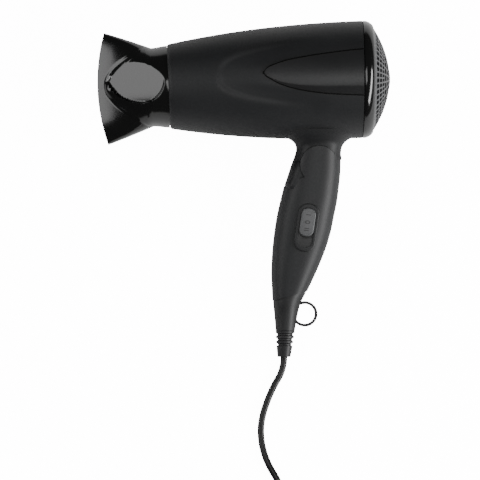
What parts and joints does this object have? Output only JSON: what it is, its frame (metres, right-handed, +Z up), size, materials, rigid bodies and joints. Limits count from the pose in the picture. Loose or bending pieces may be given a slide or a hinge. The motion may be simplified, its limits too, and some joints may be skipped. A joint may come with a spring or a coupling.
{
  "type": "travel hair dryer",
  "caption": "Folding travel hair dryer with a flat turning nozzle, slide switch, hang loop and a mains cord put away in a tied coil.",
  "frame": {"origin": "middle of the dryer's footprint, on the surface that it lies on", "axes": "+Z up from the surface, +Y from the handle's end towards the barrel's top, +X towards the air inlet at the rear"},
  "size_m": [0.2057, 0.4002, 0.0848],
  "materials": {
    "soft_touch_charcoal": "soft-touch matt",
    "satin_inlay": "satin",
    "gloss_black": "high gloss",
    "grille_grey": "satin",
    "lint_mesh": "fine woven mesh",
    "motor_plastic": "moulded",
    "plated_steel": "plated",
    "board_green": "lacquered board",
    "mica": "layered mica sheet",
    "heating_wire": "oxidised resistance wire",
    "lead_red": "insulated wire",
    "slider_grey": "satin",
    "film_yellow": "dipped",
    "boot_black": "satin",
    "cord_black": "smooth PVC",
    "tie_black": "soft strip",
    "plug_black": "moulded PVC",
    "pin_brass": "nickel over brass"
  },
  "bodies": {
    "handle": {"handle_shell_left": "soft_touch_charcoal", "handle_shell_right": "soft_touch_charcoal", "hinge_pin": "plated_steel", "hinge_washers": "plated_steel", "switch_body": "motor_plastic", "capacitor": "film_yellow", "cord_clamp": "motor_plastic", "handle_leads": "lead_red", "handle_screws": "plated_steel", "supply_lead": "cord_black", "cord_boot": "boot_black", "cord_tube": "cord_black", "cord_coil": "cord_black", "cord_end": "cord_black", "cord_tie": "tie_black", "plug_body": "plug_black", "plug_pins": "pin_brass"},
    "barrel": {"body_shell_left": "soft_touch_charcoal", "body_shell_right": "soft_touch_charcoal", "side_trim_left": "satin_inlay", "side_trim_right": "satin_inlay", "rear_trim_ring": "gloss_black", "inlet_grille": "grille_grey", "lint_screen": "lint_mesh", "fan_duct": "motor_plastic", "motor_can": "plated_steel", "motor_end_cap": "motor_plastic", "rectifier_board": "board_green", "mica_sleeve": "mica", "mica_cross": "mica", "heating_coils": "heating_wire", "thermostat": "plated_steel", "thermal_fuse": "plated_steel", "outlet_grille": "motor_plastic", "barrel_leads": "lead_red", "body_screws": "plated_steel"},
    "rotor": {"motor_shaft": "plated_steel", "fan_impeller": "motor_plastic"},
    "slider": {"switch_slider": "slider_grey"},
    "nozzle_turn": {"nozzle_ring": "motor_plastic"},
    "nozzle_body": {"nozzle": "gloss_black"}
  },
  "joints": [
    {"name": "fold", "type": "hinge", "parent": "handle", "child": "barrel", "pos_m": [0.05309, 0.01641, 0.0305], "axis": [-0.0652, -0.1822, 0.9811], "range_deg": [0, 70]},
    {"name": "switch_slide", "type": "slide", "parent": "handle", "child": "slider", "axis": [-0.1338, -0.9727, -0.1896], "range_m": [0, 0.0074]},
    {"name": "fan_spin", "type": "hinge", "parent": "barrel", "child": "rotor", "pos_m": [0.0827, 0.0755, 0.04344], "axis": [-0.9966, -0.0377, -0.0732], "continuous": true},
    {"name": "nozzle_turn", "type": "hinge", "parent": "barrel", "child": "nozzle_turn", "pos_m": [-0.04686, 0.07059, 0.03392], "axis": [-0.9966, -0.0377, -0.0732], "continuous": true},
    {"name": "nozzle_pull", "type": "slide", "parent": "nozzle_turn", "child": "nozzle_body", "axis": [-0.9966, -0.0377, -0.0732], "range_m": [0, 0.03]}
  ]
}
